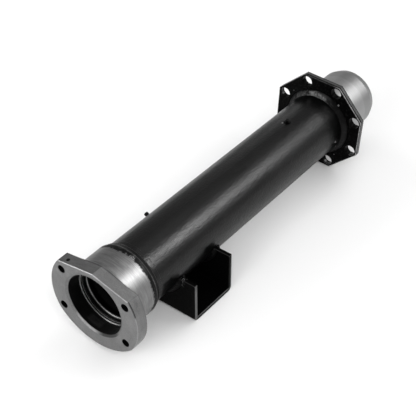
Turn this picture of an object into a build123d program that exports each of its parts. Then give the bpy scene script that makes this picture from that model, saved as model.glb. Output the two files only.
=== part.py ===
from build123d import *
from math import asin, cos, degrees, radians, sin, tan
import os

# The axle tube arm of a differential housing, bare of its bearing, seal and axle shaft: a wheel-end housing,
# a tube with a turned pilot, an octagonal flange for the centre case and a spring perch, welded together.
# Millimetres. X runs along the tube from the brake face to the pilot's tip, and Z is up. The origin is the
# centre of the bearing bore on the brake face.

# Axle tube and its turned pilot
tube_diameter = 76.2
tube_wall = 6.35
arm_length = 487.8
pilot_turning = 0.6
pilot_lead_length = 9.4
pilot_lead_drop = 3.2
tube_mouth_chamfer = 0.8

# Wheel-end housing, outside
brake_flange_rim = 9.3
brake_flange_thickness = 15.0
brake_flange_edge = 0.7
brake_flange_foot = 54.1
brake_flange_foot_radius = 65.0
ridge_height = 44.1
roof_slope = 11.35
collar_wall = 3.9
collar_straight_end = 49.0
collar_end = 54.8
collar_end_land = 1.9
collar_flare = 3.0
flare_steps = 3

# Wheel-end housing, inside
bearing_bore = 72.0
bearing_depth = 18.3
bore_entry_reach = 2.9
bore_entry_depth = 1.4
relief_bore = 69.6
relief_depth = 21.2
seal_bore = 67.6
seal_depth = 24.4
throat_depth = 26.2
socket_depth = 22.8

# Holes in the brake flange
plate_bolt_spacing_y = 84.1
plate_bolt_spacing_z = 50.8
plate_bolt_hole = 9.5
tapped_hole_diameter = 4.5
tapped_hole_depth = 6.0
tapped_hole_reach = 37.7
tapped_hole_setback = 6.0

# Differential flange
case_flange_corner = 9.8
case_flange_thickness = 8.0
case_flange_face = 411.0
case_flange_edge = 0.9
case_flange_sides = 8
case_bolt_circle = 109.4
case_bolt_hole = 14.0

# Spring perch
perch_centre = 123.3
perch_width = 65.0
perch_length = 114.3
perch_plate = 5.0
perch_drop = 61.5
perch_height = 51.5
perch_inner_bend = 1.0
perch_tilt = -2.46
perch_edge = 0.5
centre_pin_hole = 16.0

# Welds
collar_bead_length = 7.6
case_bead_height = 6.3
case_bead_length = 5.2
case_bead_crown = 0.9
perch_bead_leg = 5.0
perch_bead_wrap = 6.0

# Clip studs
stud_diameter = 5.0
stud_height = 4.0
stud_crown = 0.6
wheel_stud_place = 124.5
wheel_stud_angle = 27.0
case_stud_place = 339.0
case_stud_angle = 90.0

tube_radius = tube_diameter / 2
tube_bore_radius = tube_radius - tube_wall
collar_radius = tube_radius + collar_wall
collar_land_radius = tube_radius + collar_end_land
tube_start = collar_end - socket_depth
os.makedirs("parts", exist_ok=True)

# The tube starts in the housing's socket and ends in the pilot, turned with a long lead-in for the case.
pilot_start = case_flange_face + case_flange_thickness
pilot_radius = tube_radius - pilot_turning
with BuildPart() as axle_tube:
    with BuildSketch(Plane.XZ):
        with BuildLine():
            Polyline(
                (tube_start, tube_bore_radius),
                (tube_start, tube_radius),
                (pilot_start, tube_radius),
                (pilot_start, pilot_radius),
                (arm_length - pilot_lead_length, pilot_radius),
                (arm_length, pilot_radius - pilot_lead_drop),
                (arm_length, tube_bore_radius + tube_mouth_chamfer),
                (arm_length - tube_mouth_chamfer, tube_bore_radius),
                close=True,
            )
        make_face()
    revolve(axis=Axis.X)
axle_tube.part.label = "axle_tube"
export_step(axle_tube.part, "parts/axle_tube.step")

# The wheel-end housing is one turning: brake flange, flared collar, bearing seat, relief, seal seat, throat
# and tube socket. The roof-shaped top, the flatter foot and the holes are cut into it afterwards.
plate_bolt_reach = Vector(plate_bolt_spacing_y / 2, plate_bolt_spacing_z / 2).length
flange_radius = plate_bolt_reach + brake_flange_rim
flare_end = brake_flange_thickness + collar_flare
flare_turns = [radians(90 * step / flare_steps) for step in range(flare_steps + 1)]
flare = [
    (flare_end - collar_flare * sin(turn), collar_radius + collar_flare * (1 - cos(turn)))
    for turn in flare_turns
]
with BuildPart() as wheel_housing:
    with BuildSketch(Plane.XZ):
        with BuildLine():
            Polyline(
                (brake_flange_thickness, flange_radius - brake_flange_edge),
                (brake_flange_thickness - brake_flange_edge, flange_radius),
                (brake_flange_edge, flange_radius),
                (0, flange_radius - brake_flange_edge),
                (0, bearing_bore / 2 + bore_entry_reach),
                (bore_entry_depth, bearing_bore / 2),
                (bearing_depth, bearing_bore / 2),
                (bearing_depth, relief_bore / 2),
                (relief_depth, relief_bore / 2),
                (relief_depth, seal_bore / 2),
                (seal_depth, seal_bore / 2),
                (throat_depth, tube_bore_radius),
                (tube_start, tube_bore_radius),
                (tube_start, tube_radius),
                (collar_end, tube_radius),
                (collar_end, collar_land_radius),
                (collar_straight_end, collar_radius),
                *flare,
                close=True,
            )
        make_face()
    revolve(axis=Axis.X)
    roof_half = flange_radius + brake_flange_edge
    eave_height = ridge_height - roof_half * tan(radians(roof_slope))
    with BuildSketch(Plane.YZ):
        with BuildLine():
            Polyline(
                (0, ridge_height),
                (roof_half, eave_height),
                (roof_half, roof_half),
                (-roof_half, roof_half),
                (-roof_half, eave_height),
                close=True,
            )
        make_face()
    extrude(amount=flare_end, mode=Mode.SUBTRACT)
    with BuildSketch(Plane.YZ):
        Circle(roof_half)
        with Locations((0, brake_flange_foot_radius - brake_flange_foot)):
            Circle(brake_flange_foot_radius, mode=Mode.SUBTRACT)
    extrude(amount=brake_flange_thickness, mode=Mode.SUBTRACT)
    roof_rim = wheel_housing.edges().filter_by(GeomType.LINE).filter_by(Plane.YZ)
    foot_rim = wheel_housing.edges().filter_by(lambda edge: edge.geom_type == GeomType.CIRCLE)
    foot_rim = foot_rim.filter_by(lambda edge: abs(edge.radius - brake_flange_foot_radius) < brake_flange_edge)
    chamfer(roof_rim + foot_rim, brake_flange_edge)
    with Locations(Plane(origin=(0, 0, 0), x_dir=(0, 1, 0), z_dir=(-1, 0, 0))):
        with GridLocations(plate_bolt_spacing_y, plate_bolt_spacing_z, 2, 2):
            Hole(radius=plate_bolt_hole / 2, depth=flare_end)
    tapped_hole_height = ridge_height - tapped_hole_reach * tan(radians(roof_slope))
    roof_normal = (0, sin(radians(roof_slope)), cos(radians(roof_slope)))
    with Locations(
        Plane(
            origin=(tapped_hole_setback, tapped_hole_reach, tapped_hole_height),
            x_dir=(1, 0, 0),
            z_dir=roof_normal,
        )
    ):
        Hole(radius=tapped_hole_diameter / 2, depth=tapped_hole_depth)
wheel_housing.part.label = "wheel_end_housing"
export_step(wheel_housing.part, "parts/wheel_end_housing.step")

# The octagonal flange has a bolt hole at each corner and slides over the tube to the pilot's shoulder.
half_side_turn = 180 / case_flange_sides
case_corner_radius = case_bolt_circle / 2 + case_flange_corner
with BuildPart() as case_flange:
    with BuildSketch(Plane.YZ.offset(case_flange_face)):
        RegularPolygon(case_corner_radius, case_flange_sides, rotation=half_side_turn)
        with PolarLocations(case_bolt_circle / 2, case_flange_sides, start_angle=half_side_turn):
            Circle(case_bolt_hole / 2, mode=Mode.SUBTRACT)
        Circle(tube_radius, mode=Mode.SUBTRACT)
    extrude(amount=case_flange_thickness)
    rim = case_flange.edges().filter_by(GeomType.LINE).filter_by(Plane.YZ)
    chamfer(rim, case_flange_edge)
case_flange.part.label = "differential_flange"
export_step(case_flange.part, "parts/differential_flange.step")

# The spring perch is one folded plate with both legs coped to the tube and a centre-pin hole in its web. It
# is set a little round the tube from the flanges.
perch_plane = Plane.XZ.rotated((perch_tilt, 0, 0))
web_plane = Plane.XY.rotated((perch_tilt, 0, 0)).offset(perch_plate - perch_drop)
leg_reach = (perch_width - perch_plate) / 2
web_middle = perch_plate / 2 - perch_drop
leg_top = perch_height - perch_drop
with BuildPart() as perch:
    with BuildSketch(perch_plane):
        with BuildLine() as fold:
            FilletPolyline(
                (perch_centre - leg_reach, leg_top),
                (perch_centre - leg_reach, web_middle),
                (perch_centre + leg_reach, web_middle),
                (perch_centre + leg_reach, leg_top),
                radius=perch_inner_bend + perch_plate / 2,
            )
        trace(fold.line, line_width=perch_plate)
    extrude(amount=perch_length / 2, both=True)
    chamfer(perch.edges().filter_by(perch_plane), perch_edge)
    with BuildSketch(Plane.YZ):
        Circle(tube_radius)
    extrude(amount=perch_centre + perch_width, mode=Mode.SUBTRACT)
    with Locations(web_plane):
        with Locations((perch_centre, 0)):
            Hole(radius=centre_pin_hole / 2, depth=perch_plate + perch_inner_bend)
perch.part.label = "spring_perch"
export_step(perch.part, "parts/spring_perch.step")

# A long flat bead closes the collar onto the tube.
with BuildPart() as collar_weld:
    with BuildSketch(Plane.XZ):
        with BuildLine():
            Polyline(
                (collar_end, collar_land_radius),
                (collar_end, tube_radius),
                (collar_end + collar_bead_length, tube_radius),
                close=True,
            )
        make_face()
    revolve(axis=Axis.X)
collar_weld.part.label = "collar_weld"
export_step(collar_weld.part, "parts/collar_weld.step")

# A heavier bead, with a raised crown, closes the octagonal flange onto it.
case_root = Vector(case_flange_face, tube_radius)
case_tube_toe = case_root - Vector(case_bead_length, 0)
case_wall_toe = case_root + Vector(0, case_bead_height)
case_toe_middle = (case_tube_toe + case_wall_toe) / 2
case_crest = case_toe_middle + (case_toe_middle - case_root).normalized() * case_bead_crown
with BuildPart() as flange_weld:
    with BuildSketch(Plane.XZ):
        with BuildLine():
            Polyline(case_root, case_tube_toe, case_crest, case_wall_toe, close=True)
        make_face()
    revolve(axis=Axis.X)
flange_weld.part.label = "flange_weld"
export_step(flange_weld.part, "parts/flange_weld.step")

# A flat bead follows the cope on both sides of each leg and runs on a little above the leg's top edge.
top_angle = degrees(asin(-leg_top / tube_radius))
wrap_angle = degrees(perch_bead_wrap / tube_radius)
bead_start = 180 + top_angle - wrap_angle
bead_sweep = 180 - 2 * (top_angle - wrap_angle)
perch_beads = {
    "perch_weld_wheel_outside": (perch_centre - perch_width / 2, -1),
    "perch_weld_wheel_inside": (perch_centre - perch_width / 2 + perch_plate, 1),
    "perch_weld_case_inside": (perch_centre + perch_width / 2 - perch_plate, -1),
    "perch_weld_case_outside": (perch_centre + perch_width / 2, 1),
}
bead_plane = Plane.XZ.rotated((bead_start + perch_tilt - 90, 0, 0))
for name, (leg_face, side) in perch_beads.items():
    with BuildPart() as perch_weld:
        with BuildSketch(bead_plane):
            with BuildLine():
                Polyline(
                    (leg_face, tube_radius),
                    (leg_face + side * perch_bead_leg, tube_radius),
                    (leg_face, tube_radius + perch_bead_leg),
                    close=True,
                )
            make_face()
        revolve(axis=Axis.X, revolution_arc=bead_sweep)
    perch_weld.part.label = name
    export_step(perch_weld.part, f"parts/{name}.step")

# Two short round studs stand on the tube, one behind the perch and one on top by the octagonal flange.
studs = {
    "clip_stud_wheel_end": (wheel_stud_place, wheel_stud_angle),
    "clip_stud_case_end": (case_stud_place, case_stud_angle),
}
for name, (place, angle) in studs.items():
    outward = Vector(0, cos(radians(angle)), sin(radians(angle)))
    foot = Vector(place, 0, 0) + outward * (tube_radius - stud_height)
    with BuildPart() as stud:
        with BuildSketch(Plane(origin=foot, x_dir=(1, 0, 0), z_dir=outward)):
            Circle(stud_diameter / 2)
        extrude(amount=2 * stud_height)
        chamfer(stud.edges().sort_by(Axis(foot, outward))[-1], stud_crown)
        with BuildSketch(Plane.YZ):
            Circle(tube_radius)
        extrude(amount=arm_length, mode=Mode.SUBTRACT)
    stud.part.label = name
    export_step(stud.part, f"parts/{name}.step")
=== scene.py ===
from math import asin, cos, pi, radians, sin, sqrt, tau

import bmesh
import bpy
from mathutils import Matrix, Vector, noise


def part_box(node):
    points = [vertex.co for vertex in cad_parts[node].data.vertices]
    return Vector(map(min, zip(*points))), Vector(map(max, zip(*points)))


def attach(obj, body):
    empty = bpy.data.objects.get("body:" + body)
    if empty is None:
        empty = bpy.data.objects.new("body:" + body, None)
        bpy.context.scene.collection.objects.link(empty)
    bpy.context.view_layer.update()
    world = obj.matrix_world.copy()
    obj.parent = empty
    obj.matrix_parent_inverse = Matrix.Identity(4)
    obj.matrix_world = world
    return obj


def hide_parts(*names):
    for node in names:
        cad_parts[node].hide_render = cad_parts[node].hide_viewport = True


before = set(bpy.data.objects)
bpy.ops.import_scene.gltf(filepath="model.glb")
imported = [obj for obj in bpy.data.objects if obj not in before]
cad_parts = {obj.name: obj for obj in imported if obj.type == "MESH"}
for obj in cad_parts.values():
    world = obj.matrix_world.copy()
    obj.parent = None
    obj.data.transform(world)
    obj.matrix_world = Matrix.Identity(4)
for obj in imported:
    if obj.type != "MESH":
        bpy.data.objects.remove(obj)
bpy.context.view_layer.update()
scene = bpy.context.scene
scene.view_settings.view_transform = "Standard"
millimetre = 0.001
print("frame loaded:", len(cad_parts), "nodes")

# Axle tube arm of a differential housing. X runs along the tube from the brake face, Z is up, and every
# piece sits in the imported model's own frame, in metres. Materials and beads are measured in millimetres,
# and a pair of places in their values is where a mask leaves 0 and where it reaches 1.
perchLean = -2.46                                   # degrees that the perch is set round the tube


# Shader maths: an output socket that plain arithmetic works on
class Wire:
    def __init__(self, graph, socket):
        self.graph = graph
        self.socket = socket

    def math(self, operation, *values):
        return self.graph.node("Math", {"operation": operation}, dict(enumerate((self, *values))))

    def __add__(self, other):
        return self.math("ADD", other)

    def __sub__(self, other):
        return self.math("SUBTRACT", other)

    def __rsub__(self, other):
        return self.graph.node("Math", {"operation": "SUBTRACT"}, {0: other, 1: self})

    def __mul__(self, other):
        return self.math("MULTIPLY", other)

    def __truediv__(self, other):
        return self.math("DIVIDE", other)

    def __pow__(self, other):
        return self.math("POWER", other)

    def __neg__(self):
        return 0 - self

    __radd__ = __add__
    __rmul__ = __mul__

    def clipped(self):
        return self.math("MINIMUM", 1).math("MAXIMUM", 0)

    def step(self, start, full):                    # 0 before start, 1 past full, smooth between
        return self.graph.node(
            "MapRange", {"interpolation_type": "SMOOTHSTEP"},
            {"Value": self, "From Min": start, "From Max": full},
        )

    def between(self, rise, fall):                  # 1 from the end of rise to the start of fall
        return self.step(*rise) * (1 - self.step(*fall))


def span(first, second):                            # the distance that two offsets at right angles make
    return (first * first + second * second) ** 0.5


class Graph:
    def __init__(self, name):
        self.material = bpy.data.materials.new(name)
        self.material.use_nodes = True
        self.tree = self.material.node_tree
        self.tree.nodes.clear()

    def node(self, kind, settings=None, inputs=None, output=0):
        made = self.tree.nodes.new("ShaderNode" + kind)
        for name, value in (settings or {}).items():
            setattr(made, name, value)
        for name, value in (inputs or {}).items():
            if isinstance(value, Wire):
                self.tree.links.new(value.socket, made.inputs[name])
            else:
                made.inputs[name].default_value = value
        return Wire(self, made.outputs[output]) if made.outputs else made

    def place(self):                                # the piece's own x, y and z in millimetres
        here = self.node("TexCoord", output="Object")
        here = self.node("VectorMath", {"operation": "SCALE"}, {0: here, "Scale": 1 / millimetre})
        return here, [self.node("SeparateXYZ", None, {0: here}, axis) for axis in "XYZ"]

    def scaled(self, point, *scales):               # the same place, scaled by its own amount on each axis
        return self.node("VectorMath", {"operation": "MULTIPLY"}, {0: point, 1: scales})

    def drawnAlong(self, point, share):             # for marks drawn out along the tube
        return self.scaled(point, share, 1, 1)

    def drawnRound(self, point, share):             # for marks drawn out round it
        return self.scaled(point, 1, share, share)

    def noise(self, point, size, detail=2, roughness=0.5):
        return self.node("TexNoise", None, {
            "Vector": point, "Scale": 1 / size, "Detail": detail, "Roughness": roughness,
        })

    def spots(self, point, limits, **values):       # noise sharpened into spots
        return self.noise(point, **values).step(*limits)

    def bump(self, height, distance, normal=None):
        inputs = {"Height": height, "Distance": distance * millimetre}
        if normal:
            inputs["Normal"] = normal
        return self.node("Bump", None, inputs)

    def principled(self, inputs):
        return self.node("BsdfPrincipled", None, inputs)

    def blend(self, amount, first, second):
        return self.node("MixShader", None, {0: amount, 1: first, 2: second})

    def greyFrom(self, level):
        return self.node("CombineColor", None, {"Red": level, "Green": level, "Blue": level})

    def finish(self, shader):
        self.node("OutputMaterial", None, {"Surface": shader})
        return self.material


def grey(level):
    return (level, level, level, 1)


# Camera, at the photo's own angle
camera = {
    "place": (-0.4994, -0.4985, 0.7394),
    "turn": 0.6278,                                 # radians round the vertical from X
    "tilt": -0.7132,                                # radians up from level
    "roll": 0.0454,
    "lens": 87.4,
    "clip": (0.05, 60),
}


def makeCamera(values):
    turn, tilt, roll = values["turn"], values["tilt"], values["roll"]
    ahead = Vector((cos(tilt) * cos(turn), cos(tilt) * sin(turn), sin(tilt)))
    level = ahead.cross(Vector((0, 0, 1))).normalized()
    upright = level.cross(ahead)
    right = level * cos(roll) + upright * sin(roll)
    up = upright * cos(roll) - level * sin(roll)
    made = bpy.data.objects.new("photoCamera", bpy.data.cameras.new("photoCamera"))
    made.data.lens = values["lens"]
    made.data.clip_start, made.data.clip_end = values["clip"]
    aim = Matrix((right, up, -ahead)).transposed().to_4x4()
    made.matrix_world = Matrix.Translation(values["place"]) @ aim
    scene.collection.objects.link(made)
    scene.camera = made


makeCamera(camera)
print("camera placed")


# Floor: the part rests on the perch's web and on a corner of the octagonal flange
floor = {
    "drop": 61.5,                                   # millimetres from the tube's axis to the floor
    "reach": 9.0,                                   # metres
    "segments": 96,
    "albedo": 0.85,
}


def makeFloor(values):
    graph = Graph("paleFloor")
    material = graph.finish(graph.node("BsdfDiffuse", None, {"Color": grey(values["albedo"])}))
    lean = Matrix.Rotation(radians(perchLean), 4, "X")
    mesh = bpy.data.meshes.new("studioFloor")
    form = bmesh.new()
    bmesh.ops.create_circle(form, cap_ends=True, radius=values["reach"], segments=values["segments"])
    form.transform(lean @ Matrix.Translation((0, 0, -values["drop"] * millimetre)))
    form.to_mesh(mesh)
    form.free()
    mesh.materials.append(material)
    made = bpy.data.objects.new("studioFloor", mesh)
    scene.collection.objects.link(made)


makeFloor(floor)

# Lights: the part shines in one set, two small hot softboxes on the right whose mirror images run along
# the tube's top right and weaker ones behind, above and in front; a ring of wide ones lights the floor
partMiddle = Vector((0.24, 0, 0))
shineBoxes = {
    "keyNear": {"place": (0.757, -0.867, 1.012), "size": 0.38, "radiance": 16.0},
    "keyFar": {"place": (0.985, -0.817, 0.956), "size": 0.38, "radiance": 16.8},
    "behindRight": {"place": (1.519, -0.396, 0.982), "size": 0.36, "radiance": 3.25},
    "behindLeft": {"place": (1.511, 0.949, 0.457), "size": 0.36, "radiance": 1.0},
    "above": {"place": (0.756, 0.099, 1.328), "size": 0.36, "radiance": 1.9},
    "front": {"place": (-0.815, 0.754, 0.754), "size": 0.9, "radiance": 4.7},
}
floorBoxes = {
    "floorAbove": {"place": (0.483, 0, 1.379), "size": 0.8, "radiance": 0.74},
    "floorBehind": {"place": (1.280, 0, 0.937), "size": 0.8, "radiance": 1.91},
    "floorNear": {"place": (-0.496, -0.736, 0.937), "size": 0.8, "radiance": 3.37},
    "floorRight": {"place": (0.976, -0.736, 0.937), "size": 0.8, "radiance": 1.65},
    "floorLeft": {"place": (0.24, 1.269, 0.592), "size": 0.8, "radiance": 3.17},
    "floorFront": {"place": (-1.029, 0, 0.592), "size": 0.8, "radiance": 3.75},
}
roomLevel = 0.35
wattsPerRadiance = 4                                # for each square metre of an area light


def makeLights():
    for name, values in (shineBoxes | floorBoxes).items():
        box = bpy.data.lights.new(name, "AREA")
        box.size = values["size"]
        box.energy = wattsPerRadiance * values["radiance"] * box.size ** 2
        made = bpy.data.objects.new(name, box)
        made.location = values["place"]
        made.rotation_mode = "QUATERNION"
        made.rotation_quaternion = (made.location - partMiddle).to_track_quat("Z", "Y")
        made.visible_camera = False
        made.visible_glossy = name in shineBoxes
        made.visible_diffuse = name in floorBoxes
        scene.collection.objects.link(made)
    world = bpy.data.worlds.new("dimRoom")
    world.use_nodes = True
    world.node_tree.nodes["Background"].inputs["Color"].default_value = grey(roomLevel)
    scene.world = world


makeLights()
print("floor and lights placed")


# Black paint: semi-gloss over a faintly uneven skin
blackPaint = {
    "level": 0.001,
    "roughness": 0.36,
    "specular": 0.27,
    "studSpecular": 0.1,
    "ripple": {"size": 5.0, "detail": 3, "roughness": 0.6},  # the skin's slow unevenness, drawn out along x
    "rippleAlong": 0.45,
    "rippleDepth": 0.2,
    "grain": {"size": 2.2},                         # its fine grain, which also changes how dull it is
    "grainDepth": 0.26,
    "grainSwing": 0.2,
    "cloud": {"size": 14, "detail": 3, "roughness": 0.6},  # wide patches that are duller or glossier
    "cloudAlong": 0.3,
    "cloudSwing": 0.22,
}


def paintLook(graph, point, specular, colour=None):
    ripple = graph.noise(graph.drawnAlong(point, blackPaint["rippleAlong"]), **blackPaint["ripple"])
    grain = graph.noise(point, **blackPaint["grain"])
    cloud = graph.noise(graph.drawnAlong(point, blackPaint["cloudAlong"]), **blackPaint["cloud"])
    uneven = (cloud - 0.5) * blackPaint["cloudSwing"] + (grain - 0.5) * blackPaint["grainSwing"]
    skin = graph.bump(ripple, blackPaint["rippleDepth"])
    return graph.principled({
        "Base Color": colour or grey(blackPaint["level"]),
        "Roughness": blackPaint["roughness"] + uneven,
        "Specular IOR Level": specular,
        "Normal": graph.bump(grain, blackPaint["grainDepth"], skin),
    })


def makeStudMaterial():
    graph = Graph("blackPaint")
    point = graph.place()[0]
    return graph.finish(paintLook(graph, point, blackPaint["studSpecular"]))


# Tube: painted, with painted shade that turns the gloss down round the perch, before the flange, behind the
# collar, underneath and round the top stud, and turned bare past the flange
tubeCoat = {
    "dull": 0.04,                                   # specular level of the painted shade, where the gloss is turned down
    "patch": {"size": 7, "detail": 3, "roughness": 0.6},  # the lumps in the edges of the painted shade
    "ragged": 5,                                    # how far those edges wander
    "flangeShadow": (374, 396),                            # painted shadow before the octagonal flange
    "flangeShadowRagged": 20,
    "flangeShadowShare": 0.8,
    "perchStart": (74, 80),                         # painted shade round the perch, up to a top that climbs along the tube
    "perchEnd": (144, 152),
    "perchTop": (-6, 3),
    "perchTopAt": 105,
    "perchTopClimb": 0.14,
    "besidePerch": [                                # painted shade beyond its legs, up to a top that falls past fallFrom
        {"start": (59, 67), "raggedStart": 0.3, "end": (86, 90), "raggedTop": 0.7, "fallFrom": 77},
        {"start": (128, 138), "raggedStart": 1, "end": (152, 155), "raggedTop": 0.5, "fallFrom": 144},
    ],
    "besideTop": (3, 7),
    "besideFall": 0.9,
    "collarShade": (55.2, 57.2),                    # where the shade behind the collar ends
    "collarRagged": 2,
    "under": (-20, -5),                             # heights over which the underside's shade ends
    "underShare": 0.8,
    "studRing": (3.4, 4.8),                         # radius at which the painted shadow round the top stud ends
    "studHeight": (0, 5),
    "steel": 0.31,
    "steelRoughness": 0.48,
    "turned": {"size": 0.55, "detail": 3, "roughness": 0.7},  # the pilot's turning marks
    "turnedRound": 0.04,
    "turnedSwing": 0.12,
    "turnedDepth": 0.004,
    "tip": (462, 466),                              # where the pilot's darker rounded end starts
    "tipShade": 0.14,
    "shoulder": 0.4,                                # how soon the paint ends at the flange's rear face
    "inside": 0.004,
    "insideRoughness": 0.7,
    "insideSpecular": 0.06,
    "wall": (33.2, 34.2),                           # radii between the dark inside and the outside
}


# Painted shade: where the tube's gloss is turned down, round the perch, before the flange, behind the collar,
# underneath and round the top stud
def paintedShadePatches(x, y, z, patch):
    ragged = patch * tubeCoat["ragged"]
    dull = (x + patch * tubeCoat["flangeShadowRagged"]).step(*tubeCoat["flangeShadow"]) * tubeCoat["flangeShadowShare"]
    top = z - (x - tubeCoat["perchTopAt"]) * tubeCoat["perchTopClimb"] + ragged
    along = (x + ragged).between(tubeCoat["perchStart"], tubeCoat["perchEnd"])
    dull = dull + along * (1 - top.step(*tubeCoat["perchTop"]))
    for beside in tubeCoat["besidePerch"]:
        fall = (x - beside["fallFrom"]).math("MAXIMUM", 0) * tubeCoat["besideFall"]
        top = z + ragged * beside["raggedTop"] + fall
        along = (x + ragged * beside["raggedStart"]).step(*beside["start"]) * (1 - x.step(*beside["end"]))
        dull = dull + along * (1 - top.step(*tubeCoat["besideTop"]))
    dull = dull + (1 - (x + patch * tubeCoat["collarRagged"]).step(*tubeCoat["collarShade"]))
    dull = dull + (1 - z.step(*tubeCoat["under"])) * tubeCoat["underShare"]
    low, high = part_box("clip_stud_case_end")
    stud = (low + high) / 2 / millimetre
    studShadow = 1 - span(x - stud.x, y - stud.y).step(*tubeCoat["studRing"])
    return (dull + studShadow * z.step(*tubeCoat["studHeight"])).clipped()


def makeTubeMaterial():
    graph = Graph("paintedTube")
    point, (x, y, z) = graph.place()
    patch = graph.noise(point, **tubeCoat["patch"]) - 0.5
    paint = graph.blend(
        paintedShadePatches(x, y, z, patch),
        paintLook(graph, point, blackPaint["specular"]),
        paintLook(graph, point, tubeCoat["dull"]),
    )
    turned = graph.noise(graph.drawnRound(point, tubeCoat["turnedRound"]), **tubeCoat["turned"])
    level = tubeCoat["steel"] + (turned - 0.5) * tubeCoat["turnedSwing"]
    steel = graph.principled({
        "Base Color": graph.greyFrom(level * (1 - x.step(*tubeCoat["tip"]) * tubeCoat["tipShade"])),
        "Metallic": 1,
        "Roughness": tubeCoat["steelRoughness"],
        "Normal": graph.bump(turned, tubeCoat["turnedDepth"]),
    })
    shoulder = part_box("differential_flange")[1].x / millimetre
    outside = graph.blend(x.step(shoulder - tubeCoat["shoulder"], shoulder), paint, steel)
    inside = graph.principled({
        "Base Color": grey(tubeCoat["inside"]),
        "Roughness": tubeCoat["insideRoughness"],
        "Specular IOR Level": tubeCoat["insideSpecular"],
    })
    return graph.finish(graph.blend(1 - span(y, z).step(*tubeCoat["wall"]), outside, inside))


# Plates: the faces' gloss is turned down as painted shade, and the cut edges keep theirs and carry painted
# highlights
plateCoat = {
    "face": 0.02,                                   # specular levels of the faces and of the edges
    "edge": 0.5,
    # the paler colour of the edges' painted highlights
    "edgeLevel": 0.04,
}
flangeCoat = {
    "highlightStart": (0.05, 0.15),                     # a painted highlight along the front edge, from the front face
    "highlightEnd": (0.85, 1.05),
    "highlightLevel": 0.24,
    "highlightLeft": 0.3,                               # the share of it that shows on the left
    "highlightRight": (16, 26),
    "bandStart": (2.3, 2.8),                        # the paler painted highlight band behind it, short of the rear face
    "bandEnd": (-2.0, -1.4),
    "rim": (56.5, 57.5),                            # radii beyond which the edge lies
    # breaks the painted highlights into patches
    "patchy": {"size": 3, "detail": 3, "roughness": 0.6, "limits": (0.35, 0.6)},
    "patchyLeast": 0.2,
    "mottle": {"size": 2.2, "detail": 3, "roughness": 0.7, "limits": (0.52, 0.68)},
    "mottleLevel": 0.008,
}


def makeFlangeMaterial():
    graph = Graph("paintedFlange")
    point, (x, y, z) = graph.place()
    front, rear = (x - corner.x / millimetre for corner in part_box("differential_flange"))
    edgeHighlight = front.between(flangeCoat["highlightStart"], flangeCoat["highlightEnd"])
    least = flangeCoat["highlightLeft"]
    edgeHighlight = edgeHighlight * (least + (-y).step(*flangeCoat["highlightRight"]) * (1 - least))
    band = front.step(*flangeCoat["bandStart"]) * (1 - rear.step(*flangeCoat["bandEnd"]))
    rim = span(y, z).step(*flangeCoat["rim"])
    patchy = graph.spots(point, **flangeCoat["patchy"])
    patchy = flangeCoat["patchyLeast"] + patchy * (1 - flangeCoat["patchyLeast"])
    level = (edgeHighlight * flangeCoat["highlightLevel"] + band * plateCoat["edgeLevel"]) * patchy * rim
    edge = paintLook(graph, point, plateCoat["edge"], graph.greyFrom(blackPaint["level"] + level))
    mottle = graph.spots(point, **flangeCoat["mottle"]) * flangeCoat["mottleLevel"]
    face = paintLook(graph, point, plateCoat["face"], graph.greyFrom(blackPaint["level"] + mottle))
    return graph.finish(graph.blend((edgeHighlight + band).clipped() * rim, face, edge))


# Perch: painted highlights on the cut ends of the legs and the web and along the legs' tops, with dust and
# specks by the near weld
perchCoat = {
    "sides": (1.6, 2.8),                            # how far in from the cut side edges the painted highlights end
    "nearHighlight": ((0.5, 0.8), (4.3, 4.6)),            # painted highlight across the leg nearer the wheel, from its outer face
    "farHighlight": ((-2.2, -1.8), (-0.8, -0.5)),         # a weaker painted highlight across the other leg, from its outer face
    "farShare": 0.5,
    "webHighlight": ((-58.4, -58.0), (-56.9, -56.6)),     # heights of the painted highlight along the web
    "webShare": 0.7,
    "nearTop": ((0.1, 0.2), (1.0, 1.3)),            # painted highlights along the legs' tops, from the same two faces
    "farTop": ((-4.9, -4.8), (-4.0, -3.7)),
    "topHeight": (-10.9, -10.5),
    "topShare": 0.35,
    "dust": {"size": 1.3, "detail": 3, "roughness": 0.7, "limits": (0.62, 0.70)},
    "dustLevel": 0.01,
    "splash": {"size": 1.2, "detail": 2, "roughness": 0.6, "limits": (0.60, 0.66)},
    "splashLevel": 0.3,                             # specks beside the near leg's weld
    "splashHeight": (-20, -14),
    "splashAcross": (-46, -41),
    "splashEnd": (6, 7),
}


def makePerchMaterial():
    graph = Graph("paintedPerch")
    point, (x, y, z) = graph.place()
    low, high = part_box("spring_perch")
    left, right = y - high.y / millimetre, y - low.y / millimetre
    near, far = x - low.x / millimetre, x - high.x / millimetre
    height = y * -sin(radians(perchLean)) + z * cos(radians(perchLean))
    inset, clear = perchCoat["sides"]
    sides = (1 - right.step(inset, clear)) + left.step(-clear, -inset)
    endHighlights = near.between(*perchCoat["nearHighlight"]) + far.between(*perchCoat["farHighlight"]) * perchCoat["farShare"]
    endHighlights = endHighlights + height.between(*perchCoat["webHighlight"]) * perchCoat["webShare"]
    tops = near.between(*perchCoat["nearTop"]) + far.between(*perchCoat["farTop"])
    tops = tops * height.step(*perchCoat["topHeight"]) * perchCoat["topShare"]
    dust = graph.spots(point, **perchCoat["dust"]) * perchCoat["dustLevel"]
    byWeld = height.step(*perchCoat["splashHeight"]) * y.step(*perchCoat["splashAcross"])
    byWeld = byWeld * (1 - near.step(*perchCoat["splashEnd"]))
    splash = graph.spots(point, **perchCoat["splash"]) * byWeld * perchCoat["splashLevel"]
    edge = paintLook(graph, point, plateCoat["edge"], grey(plateCoat["edgeLevel"]))
    face = paintLook(graph, point, plateCoat["face"], graph.greyFrom(blackPaint["level"] + dust + splash))
    return graph.finish(graph.blend((sides * endHighlights + tops).clipped(), face, edge))


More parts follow.
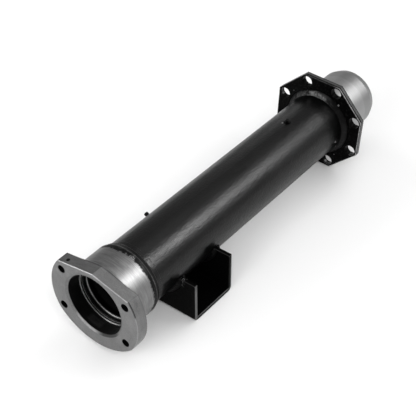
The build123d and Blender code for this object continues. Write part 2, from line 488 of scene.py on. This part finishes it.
# Weld paint: what the beads and the spatter share, then what each of them has of its own
weldPaint = {
    "level": 0.001,
    "grain": {"size": 1.1, "detail": 3, "roughness": 0.6},
    "cloud": {"size": 7},
    "cloudSwing": 0.3,
    "speck": {"size": 1.6, "detail": 2, "roughness": 0.6, "limits": (0.62, 0.72)},
    "speckLevel": 0.012,
    "glossHeight": (18, 32),                        # a painted sheen: the glossy coat covers only the top and the left, where the lamps catch the beads
    "glossAcross": (-20, -8),
    "glossCloud": (0.38, 0.56),
    "glossRoughness": 0.36,
    "collarSkin": 0.6,                              # how soon the collar's bead turns into the tube's paint
}
weldCoats = {
    "paintedWeld": {"specular": 0.13, "roughness": 0.38, "depth": 0.03, "gloss": 0.9},
    "dullWeld": {"specular": 0.05, "roughness": 0.45, "depth": 0.08},
    "rubbedWeld": {"specular": 0.28, "roughness": 0.42, "depth": 0.08, "tubePaintFrom": 56.0},
    "spatter": {"specular": 0.5, "roughness": 0.3, "depth": 0.02, "gloss": 0.5, "level": 0.10},
}


def makeWeldMaterial(name):
    coat = weldPaint | weldCoats[name]
    graph = Graph(name)
    point, (x, y, z) = graph.place()
    grain = graph.noise(point, **coat["grain"])
    cloud = graph.noise(point, **coat["cloud"])
    speck = graph.spots(point, **coat["speck"])
    paintedSheen = z.step(*coat["glossHeight"]) * y.step(*coat["glossAcross"]) * cloud.step(*coat["glossCloud"])
    bead = graph.principled({
        "Base Color": graph.greyFrom(coat["level"] + speck * coat["speckLevel"]),
        "Coat Weight": paintedSheen * coat.get("gloss", 0),
        "Coat Roughness": coat["glossRoughness"],
        "Roughness": coat["roughness"] + (cloud - 0.5) * coat["cloudSwing"],
        "Specular IOR Level": coat["specular"],
        "Normal": graph.bump(grain, coat["depth"]),
    })
    if "tubePaintFrom" in coat:
        film = x.step(coat["tubePaintFrom"], coat["tubePaintFrom"] + coat["collarSkin"])
        bead = graph.blend(film, bead, paintLook(graph, point, blackPaint["specular"]))
    return graph.finish(bead)


# Wheel-end housing: machined steel with turning marks, painted shade in its bores and bolt holes with painted
# highlights on their steps, painted highlights and shade round its front, black overspray at the collar's end
tiny = 0.001                                        # keeps the axis itself from dividing by nothing


def facing(y, z, radius, way, cone):                # 1 where a wall lies that way from the bore's axis
    return ((y * way[0] + z * way[1]) / (radius + tiny)).step(*cone)


bore = {
    "radius": (36.6, 36.9),
    "start": (1.4, 2.2),
    "shade": 0.83,                                  # painted shade: how much of the walls' brightness is lost inside
    "deep": (25.8, 26.0),
    "deepShade": 0.12,
    "ledges": [                                     # painted highlights on the steps' edges: rise, fall and share of each
        ((17.7, 18.0), (18.5, 18.8), 1),
        ((19.8, 20.0), (20.6, 20.8), 2.4),
        ((24.9, 25.05), (25.4, 25.55), 0.6),
    ],
    "ledgeGain": 1.55,
    "lit": ((4, 7), (12, 16)),                      # a painted highlight on the wall that faces the lamps
    "litWay": (0.2, -0.98),                         # across and up from the axis
    "litCone": (0.955, 0.985),
    "litLeast": 0.2,
    "litGain": 0.3,
    # painted shade in the bolt holes
    "boltSpread": (42.05, 25.4),
    "boltRadius": (4.9, 5.05),
    "boltStart": (0.15, 0.6),
    "boltShade": 0.92,
}


def boreLightAndShade(x, y, z, radius, cloud, inHole):
    ledge = sum(x.between(rise, fall) * share for rise, fall, share in bore["ledges"])
    inside = (1 - radius.step(*bore["radius"])) * x.step(*bore["start"])
    dark = inside * (1 - ledge) * bore["shade"] + inside * x.step(*bore["deep"]) * bore["deepShade"]
    shade = 1 - (dark + inHole * bore["boltShade"]).clipped()
    shade = shade * (1 + inside * ledge * bore["ledgeGain"])
    lit = facing(y, z, radius, bore["litWay"], bore["litCone"]) * x.between(*bore["lit"])
    return shade + inside * lit * (cloud + bore["litLeast"]) * bore["litGain"]


# Front: painted highlights and painted shade on the front face, its edges and the bore's chamfer
frontLightAndShade = {
    "edge": ((0.05, 0.15), (0.7, 0.85)),            # a painted highlight on the broken edge round the outside
    "edgeRadius": (40, 41),
    "edgeGain": 0.36,
    "edgeLeft": (-8, 12),
    "edgeLeftLoss": 0.4,
    "entry": ((0.05, 0.15), (1.4, 1.6)),            # the bore's chamfer, with a painted highlight on one stretch and painted shade on another
    "entryRadius": (39.2, 39.4),
    "entryShade": 0.12,
    "entryLitWay": (0.26, -0.966),
    "entryLitCone": (0.84, 0.97),
    "entryLit": 0.8,
    "entryUnlitWay": (-0.5, -0.866),
    "entryUnlitCone": (0.84, 0.95),
    "entryUnlit": 0.6,
    "seam": ((13.6, 14.4), (15.2, 16.6)),           # painted shade in the crease behind the brake flange, along its top
    "seamHeight": (24, 34),
    "seamShade": 0.4,
    # painted shade on the rim past the front edge
    "rimRadius": (57.2, 57.9),
    "rimStart": (0.8, 1.2),
    "rimShade": 0.14,
    "nick": ((0.05, 0.1), (1.2, 1.6)),              # painted shade: a dark line on the right-hand top corner
    "nickHeight": (17, 21),
    "nickRight": (45, 46),
    "nickRadius": (57.0, 57.4),
    "nickShade": 0.85,
    "left": (0, 40),                                # painted shade: the face is a little darker towards the left
    "leftDepth": (0.05, 0.2),
    "leftShade": 0.08,
}


def paintedFrontLight(x, y, z, radius, inHole):
    edge = x.between(*frontLightAndShade["edge"]) * radius.step(*frontLightAndShade["edgeRadius"]) * (1 - inHole)
    edge = edge * (1 - y.step(*frontLightAndShade["edgeLeft"]) * frontLightAndShade["edgeLeftLoss"])
    rim = radius.step(*frontLightAndShade["rimRadius"]) * x.step(*frontLightAndShade["rimStart"])
    nick = x.between(*frontLightAndShade["nick"]) * z.step(*frontLightAndShade["nickHeight"])
    nick = nick * (-y).step(*frontLightAndShade["nickRight"]) * radius.step(*frontLightAndShade["nickRadius"])
    left = (1 - x.step(*frontLightAndShade["leftDepth"])) * y.step(*frontLightAndShade["left"])
    gain = 1 + edge * frontLightAndShade["edgeGain"] - rim * frontLightAndShade["rimShade"]
    gain = gain - nick * frontLightAndShade["nickShade"] - left * frontLightAndShade["leftShade"]
    entry = x.between(*frontLightAndShade["entry"]) * (1 - radius.step(*frontLightAndShade["entryRadius"]))
    lit = facing(y, z, radius, frontLightAndShade["entryLitWay"], frontLightAndShade["entryLitCone"])
    unlit = facing(y, z, radius, frontLightAndShade["entryUnlitWay"], frontLightAndShade["entryUnlitCone"])
    turn = lit * frontLightAndShade["entryLit"] - unlit * frontLightAndShade["entryUnlit"] - frontLightAndShade["entryShade"]
    seam = x.between(*frontLightAndShade["seam"]) * z.step(*frontLightAndShade["seamHeight"]) * frontLightAndShade["seamShade"]
    return gain * (1 + entry * turn) * (1 - seam)


overspray = {
    "start": (43.5, 45.8),
    "ragged": 9,                                    # how far its edge wanders
    "lump": {"size": 3, "detail": 4, "roughness": 0.7},
    "topHeight": (24, 38),                          # it starts sooner on the left of the top and underneath
    "topAcross": (-6, 6),
    "topAhead": 1.2,
    "underneath": (0, 16),
    "underAhead": 2.4,
    "radius": (38.15, 38.6),
    "level": 0.001,
    "roughness": 0.5,
    "specular": 0.12,
    "grain": {"size": 1.2, "detail": 3, "roughness": 0.6},
    "grainDepth": 0.06,
    "streak": {"size": 1.6, "detail": 3, "roughness": 0.7, "limits": (0.52, 0.70)},  # rubbed round the collar
    "streakRound": 0.25,
    "streakLevel": 0.05,
    "streakStart": (46.5, 48),
    "speck": {"size": 1.3, "detail": 2, "roughness": 0.6, "limits": (0.6, 0.7)},
    "speckLevel": 0.04,
    "crestHighlight": 50.0,                                  # where the painted highlight on the rim lies
    "crestWander": 1.5,
    "crestRise": (0, 0.3),
    "crestFall": (0.9, 1.2),
    "crestLevel": 0.16,
    "crestLeast": 0.3,
    "chip": {"size": 0.9, "detail": 2, "roughness": 0.6, "limits": (0.52, 0.6)},
    "chipLevel": 0.3,
    "chipsAt": (45.2, -12.4),                       # the x and y of the bare chips near the collar's top
    "chipsRadius": (2.5, 4.5),
    "chipsHeight": (0, 9),
}


def sprayedLevel(graph, point, x, y, z, cloud):
    streak = graph.spots(graph.drawnRound(point, overspray["streakRound"]), **overspray["streak"])
    speck = graph.spots(point, **overspray["speck"])
    fromCrest = x - overspray["crestHighlight"] - (cloud - 0.5) * overspray["crestWander"]
    least = overspray["crestLeast"]
    crestHighlight = fromCrest.between(overspray["crestRise"], overspray["crestFall"]) * (least + streak * (1 - least))
    dusty = x.step(*overspray["streakStart"]) * (1 - fromCrest.step(*overspray["crestFall"])) * streak
    fromChips = span(x - overspray["chipsAt"][0], y - overspray["chipsAt"][1])
    chips = (1 - fromChips.step(*overspray["chipsRadius"])) * z.step(*overspray["chipsHeight"])
    chips = chips * graph.spots(point, **overspray["chip"])
    dust = (speck * overspray["speckLevel"] + streak * overspray["streakLevel"]) * dusty
    return overspray["level"] + dust + crestHighlight * overspray["crestLevel"] + chips * overspray["chipLevel"]


machinedSteel = {
    "level": 0.205,
    "roughness": 0.47,
    "roughnessSwing": 0.2,
    "turnedDepth": 0.01,
}
turningMarks = {
    "ring": {"size": 1.0, "detail": 3, "roughness": 0.75},
    "ringSwing": 1.3,
    "band": {"size": 3, "detail": 3, "roughness": 0.6},
    "bandSwing": 0.5,
    "round": 0.05,                                  # how little they change along their own run
    "flangeShare": 0.25,                            # how much of them the brake flange keeps
    "collarStart": (16, 18),
    "cloud": {"size": 6, "detail": 3, "roughness": 0.65},
    "cloudRound": 0.4,
    "cloudSwing": 0.6,
    "pit": {"size": 1.3, "detail": 3, "roughness": 0.7, "limits": (0.60, 0.74)},
    "pitRound": 0.5,
    "pitShade": 0.2,
    "grain": {"size": 1.4, "detail": 3, "roughness": 0.7},  # on the brake flange alone
    "grainSwing": 0.7,
    "grainEnd": (14, 17),
}


def makeHousingMaterial():
    graph = Graph("machinedSteel")
    point, (x, y, z) = graph.place()
    radius = span(y, z)
    marks = turningMarks
    run = graph.node("CombineXYZ", None, {0: x + radius, 1: y * marks["round"], 2: z * marks["round"]})
    rings = graph.noise(run, **marks["ring"])
    bands = graph.noise(run, **marks["band"])
    cloud = graph.noise(graph.drawnRound(point, marks["cloudRound"]), **marks["cloud"])
    pits = graph.spots(graph.drawnRound(point, marks["pitRound"]), **marks["pit"])
    grain = (graph.noise(point, **marks["grain"]) - 0.5) * (1 - x.step(*marks["grainEnd"]))
    turned = (rings - 0.5) * marks["ringSwing"] + (bands - 0.5) * marks["bandSwing"]
    least = marks["flangeShare"]
    turned = turned * (least + x.step(*marks["collarStart"]) * (1 - least))
    uneven = (cloud - 0.5) * marks["cloudSwing"] - pits * marks["pitShade"] + grain * marks["grainSwing"]
    across, upward = (axis.math("ABSOLUTE") - spread for axis, spread in zip((y, z), bore["boltSpread"]))
    inHole = (1 - span(across, upward).step(*bore["boltRadius"])) * x.step(*bore["boltStart"])
    level = machinedSteel["level"] * (1 + turned + uneven)
    level = level * paintedFrontLight(x, y, z, radius, inHole) * boreLightAndShade(x, y, z, radius, cloud, inHole)
    steel = graph.principled({
        "Base Color": graph.greyFrom(level),
        "Metallic": 1,
        "Roughness": machinedSteel["roughness"] + (rings - 0.5) * machinedSteel["roughnessSwing"],
        "Normal": graph.bump(rings, machinedSteel["turnedDepth"]),
    })
    sprayed = graph.principled({
        "Base Color": graph.greyFrom(sprayedLevel(graph, point, x, y, z, cloud)),
        "Specular IOR Level": overspray["specular"],
        "Roughness": overspray["roughness"],
        "Normal": graph.bump(graph.noise(point, **overspray["grain"]), overspray["grainDepth"]),
    })
    edge = x + (graph.noise(point, **overspray["lump"]) - 0.5) * overspray["ragged"]
    edge = edge + z.step(*overspray["topHeight"]) * y.step(*overspray["topAcross"]) * overspray["topAhead"]
    edge = edge + (-z).step(*overspray["underneath"]) * overspray["underAhead"]
    onCollar = edge.step(*overspray["start"]) * radius.step(*overspray["radius"])
    return graph.finish(graph.blend(onCollar, steel, sprayed))


# Weld beads: what stands for each plain CAD bead is lumpy, with the ripples of a hand-laid weld
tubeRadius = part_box("axle_tube")[1].y / millimetre
beadForm = {
    "seedStep": Vector((17.3, 5.1, 9.7)),           # keeps one seed's unevenness apart from the next one's
    "stepsPerRipple": 8,
    "ripplesFrom": 0.6,                             # share of a ripple that lies under the bead's face
    "jitterSize": 9,
    "lumpAcross": 9,                                # how far the lumps move on across the bead
    "thin": 0.5,                                    # keeps lumps small where the bead is thin
    "endStart": 0.15,                               # share of its size that an open bead ends with
    "sink": 0.2,                                    # how far its tips sink into the tube
    "filmStart": 0.4,                               # the film that is a bead's tail starts this far past it
    "filmEnd": (0.15, 0.4),                         # points short of its end that keep the tube's shading
}


def onTube(along, up, angle):                       # the place this far over the tube's surface
    return (along, (tubeRadius + up) * cos(angle), (tubeRadius + up) * sin(angle))


def wobble(point, size, seed):                      # smooth unevenness from -1 to 1, the same each run
    return noise.noise(Vector(point) / size + beadForm["seedStep"] * seed)


def solidFromRings(name, rings, closed):
    form = bmesh.new()
    loops = [[form.verts.new(Vector(point) * millimetre) for point in ring] for ring in rings]
    for here, there in zip(loops, loops[1:] + loops[:1] if closed else loops[1:]):
        for at in range(len(here)):
            after = (at + 1) % len(here)
            form.faces.new((here[at], here[after], there[after], there[at]))
    if not closed:
        form.faces.new(reversed(loops[0]))
        form.faces.new(loops[-1])
    bmesh.ops.recalc_face_normals(form, faces=form.faces[:])
    for face in form.faces:
        face.smooth = True
    mesh = bpy.data.meshes.new(name)
    form.to_mesh(mesh)
    form.free()
    made = bpy.data.objects.new(name, mesh)
    scene.collection.objects.link(made)
    return made


def standIn(made, node, material):
    made.data.materials.append(material)
    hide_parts(node)
    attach(made, "root")


# One section of a bead, as places along the tube and heights over it. Of its seeds, the first two sway
# the legs, the third makes the lumps and the sixth shifts the ripples.
def beadSection(bead, root, side, foot, phase, fade, over):
    sway = [1 + bead["wander"] * wobble(foot, bead["wanderSize"], bead["seed"] + which) for which in (0, 1)]
    reach = bead["tubeLeg"] * sway[0] * fade * (1 + over * bead.get("swell", 0))
    height = bead["wallLeg"] * sway[1] * fade
    if "tail" in bead:
        tail = root + side * bead["tail"]
        points = [(root, 0), (tail, 0)]
        points += [(tail - side * short, bead["lift"]) for short in beadForm["filmEnd"]]
        points.append((root + side * (reach + beadForm["filmStart"]), bead["lift"]))
    else:
        back = root - side * over * bead.get("overlap", 0)
        points = [(back, -beadForm["sink"] * over), (root + side * reach, 0)]
    for step in range(bead["points"] + 1):
        share = step / bead["points"]
        away = (1 - share) * (1 - bead["bulge"]) + cos(share * pi / 2) * bead["bulge"]
        up = share * (1 - bead["bulge"]) + sin(share * pi / 2) * bead["bulge"]
        middle = sin(share * pi)
        shift = bead["jitter"] * wobble(foot, beadForm["jitterSize"], bead["seed"] + 5)
        ripple = abs(sin(pi * (phase + shift + bead["slant"] * middle)))
        crust = (ripple - beadForm["ripplesFrom"]) * bead["rippleDepth"]
        place = foot + Vector((beadForm["lumpAcross"] * share, 0, 0))
        lump = wobble(place, bead["lumpSize"], bead["seed"] + 2) * bead["lumpDepth"]
        grown = 1 + middle * (crust + lump) * fade / (height + beadForm["thin"])
        points.append((root + side * reach * away * grown, bead["lift"] + height * up * grown))
    return points


def layBead(name, bead, root, side, start, sweep):
    closed = sweep >= tau
    ripples = round(sweep * tubeRadius / bead["ripple"])
    steps = ripples * beadForm["stepsPerRipple"]
    rings = []
    for step in range(steps if closed else steps + 1):
        turn = step / steps
        angle = start + sweep * turn
        foot = Vector(onTube(root, 0, angle))
        fromEnd = min(turn, 1 - turn) * sweep * tubeRadius
        fade = 1 if closed else min(1, beadForm["endStart"] + sqrt(fromEnd / bead["endLength"]))
        over = 0 if closed else max(0, 1 - fromEnd / bead["wrap"]) ** 0.5
        section = beadSection(bead, root, side, foot, turn * ripples, fade, over)
        rings.append([onTube(along, up, angle) for along, up in section])
    return solidFromRings(name, rings, closed)


# A bead's own values: its legs along the tube and up the wall, how round its face is, how far the legs
# wander, the ripples across it, its lumps, and how many points its face has
flangeBead = {
    "tubeLeg": 5.0, "wallLeg": 5.9, "bulge": 0.45, "wander": 0.10, "wanderSize": 16,
    "ripple": 3.4, "rippleDepth": 0.28, "jitter": 1.2, "slant": 0.45, "lumpSize": 7.0, "lumpDepth": 1.1,
    "points": 10, "seed": 3, "lift": 0,
}
collarBead = {
    "tubeLeg": 1.8, "wallLeg": 1.7, "bulge": 0.85, "wander": 0.15, "wanderSize": 11,
    "ripple": 3.0, "rippleDepth": 0.3, "jitter": 1.0, "slant": 0.5, "lumpSize": 4.0, "lumpDepth": 0.4,
    "points": 10, "seed": 8, "lift": 0.12,
    "tail": 7.4,                                    # the film of paint reaches this far along the tube
}
perchBead = {
    "tubeLeg": 4.7, "wallLeg": 4.7, "bulge": 0.5, "wander": 0.14, "wanderSize": 12,
    "ripple": 3.2, "rippleDepth": 0.5, "jitter": 1.0, "slant": 0.45, "lumpSize": 5.0, "lumpDepth": 0.7,
    "points": 9, "seed": 13, "lift": 0, "endLength": 5,
    "legTop": 10.0,                                 # height of the legs' tips over the tube's axis
    "wrap": 1.8,                                    # how far the bead wraps past a tip and over the leg
    "overlap": 2.7,
    "swell": 0.45,
}
seedSpread = 7                                      # sets the perch's four beads apart


def layWelds():
    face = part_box("flange_weld")[1].x / millimetre
    made = layBead("flangeWeldBead", flangeBead, face, -1, 0, tau)
    standIn(made, "flange_weld", makeWeldMaterial("paintedWeld"))
    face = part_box("collar_weld")[0].x / millimetre
    made = layBead("collarWeldBead", collarBead, face, 1, 0, tau)
    standIn(made, "collar_weld", makeWeldMaterial("rubbedWeld"))
    dullWeld = makeWeldMaterial("dullWeld")
    above = asin(perchBead["legTop"] / tubeRadius) - perchBead["wrap"] / tubeRadius
    for place, side in (("wheel_outside", -1), ("wheel_inside", 1), ("case_inside", -1), ("case_outside", 1)):
        node = "perch_weld_" + place
        low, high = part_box(node)
        face = (high.x if side < 0 else low.x) / millimetre
        start = pi + above + radians(perchLean)
        bead = dict(perchBead, seed=perchBead["seed"] + face % seedSpread)
        made = layBead("perchWeldBead." + place, bead, face, side, start, pi - 2 * above)
        standIn(made, node, dullWeld)


layWelds()
print("weld beads laid")

# Spatter: small balls half sunk in the tube and in the octagonal flange's face, beside the beads
spatter = {
    "segments": 12,
    "rings": 8,
    "onTube": [                                     # x, degrees round the tube from +Y, and radius
        (394.1, 185.5, 1.15), (334.6, 84, 1.1), (402, 205, 0.7), (400, 250, 0.9), (392, 300, 0.8),
    ],
    "onFace": [(-26.5, 36.2, 1.3), (-45, -18, 0.5), (38, 30, 0.6), (-30, -37, 0.8)],  # y, z and radius
}


def throwSpatter():
    form = bmesh.new()
    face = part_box("differential_flange")[0].x / millimetre
    balls = [(onTube(x, 0, radians(turn)), size) for x, turn, size in spatter["onTube"]]
    balls += [((face, y, z), size) for y, z, size in spatter["onFace"]]
    segments, rings = spatter["segments"], spatter["rings"]
    for place, size in balls:
        at, radius = Matrix.Translation(Vector(place) * millimetre), size * millimetre
        bmesh.ops.create_uvsphere(form, u_segments=segments, v_segments=rings, radius=radius, matrix=at)
    for side in form.faces:
        side.smooth = True
    mesh = bpy.data.meshes.new("weldSpatter")
    form.to_mesh(mesh)
    form.free()
    mesh.materials.append(makeWeldMaterial("spatter"))
    made = bpy.data.objects.new("weldSpatter", mesh)
    scene.collection.objects.link(made)
    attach(made, "root")


throwSpatter()
print("spatter thrown")


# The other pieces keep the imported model's meshes
studMaterial = makeStudMaterial()
materials = {
    "axle_tube": makeTubeMaterial(),
    "wheel_end_housing": makeHousingMaterial(),
    "differential_flange": makeFlangeMaterial(),
    "spring_perch": makePerchMaterial(),
    "clip_stud_wheel_end": studMaterial,
    "clip_stud_case_end": studMaterial,
}
for node, material in materials.items():
    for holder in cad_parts[node].material_slots:
        holder.material = material
print("materials made")
